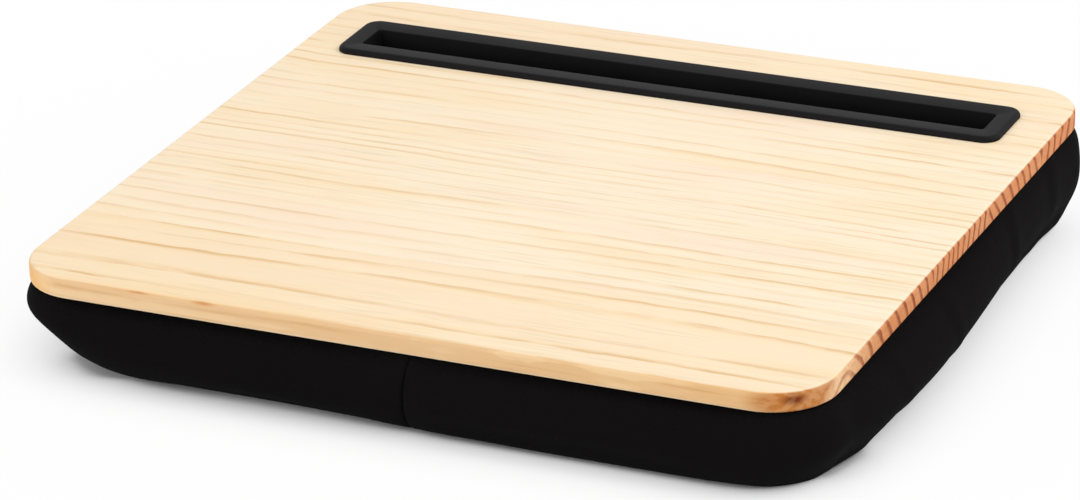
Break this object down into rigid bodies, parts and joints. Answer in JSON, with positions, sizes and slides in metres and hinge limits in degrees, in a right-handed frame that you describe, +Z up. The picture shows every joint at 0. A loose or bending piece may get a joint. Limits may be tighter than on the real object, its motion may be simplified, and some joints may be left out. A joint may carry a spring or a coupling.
{
  "type": "tablet lap tray",
  "caption": "Rounded pine board with a raised black slot insert near its back edge, tilted on a soft black cushion, to hold a tablet on the lap or a table.",
  "frame": {"origin": "on the surface that the cushion rests on, under the middle of the whole tray", "axes": "+X to the right along the board's long side, +Y from the front edge to the slot at the back, +Z up; the board's top leans 2.5 degrees about X, its back edge high"},
  "size_m": [0.422, 0.3882, 0.0647],
  "materials": {
    "pine": "satin clear lacquer",
    "insert": "satin",
    "hook_tape": "hooked pile",
    "loop_tape": "looped pile",
    "cover_cloth": "matt close weave",
    "beads": "matt"
  },
  "bodies": {
    "root": {"board_stave_1": "pine", "board_stave_2": "pine", "board_stave_3": "pine", "board_stave_4": "pine", "board_stave_5": "pine", "slot_insert": "insert", "hook_strip_1": "hook_tape", "hook_strip_2": "hook_tape", "hook_strip_3": "hook_tape", "hook_strip_4": "hook_tape", "loop_strip_1": "loop_tape", "loop_strip_2": "loop_tape", "loop_strip_3": "loop_tape", "loop_strip_4": "loop_tape", "cover_band_left": "cover_cloth", "cover_band_right": "cover_cloth", "cover_top_panel": "cover_cloth", "cover_bottom_panel": "cover_cloth", "bead_fill": "beads"}
  },
  "joints": []
}
